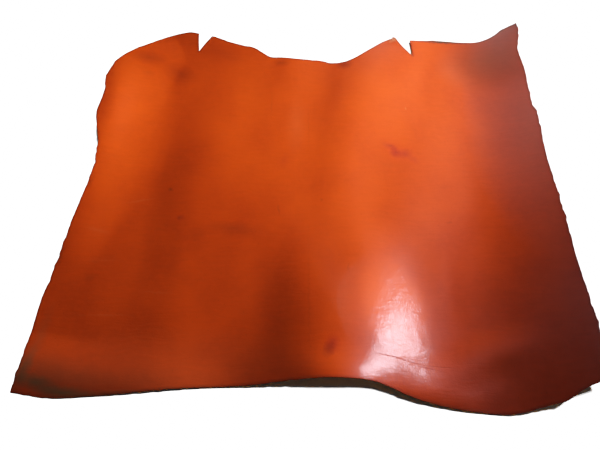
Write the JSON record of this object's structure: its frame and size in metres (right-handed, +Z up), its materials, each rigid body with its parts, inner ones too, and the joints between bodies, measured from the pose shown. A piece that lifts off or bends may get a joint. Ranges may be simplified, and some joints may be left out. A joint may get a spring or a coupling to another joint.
{
  "type": "leather hide",
  "caption": "Vegetable-tanned leather shoulder hide laid out flat, grain side up, with low swells, curled belly edges and notched neck edge.",
  "frame": {"origin": "on the surface the hide lies on, under the middle of its bounding box", "axes": "+X across the hide from the left belly edge to the right belly edge, +Y from the straight-cut rear edge to the neck edge, +Z up out of the grain side"},
  "size_m": [1.4, 1.1499, 0.0685],
  "materials": {
    "hide_leather": "glazed orange-tan aniline dye over a smooth grain, satin to semi-gloss, with a suede-like flesh side"
  },
  "bodies": {
    "root": {"leather_hide": "hide_leather"}
  },
  "joints": []
}
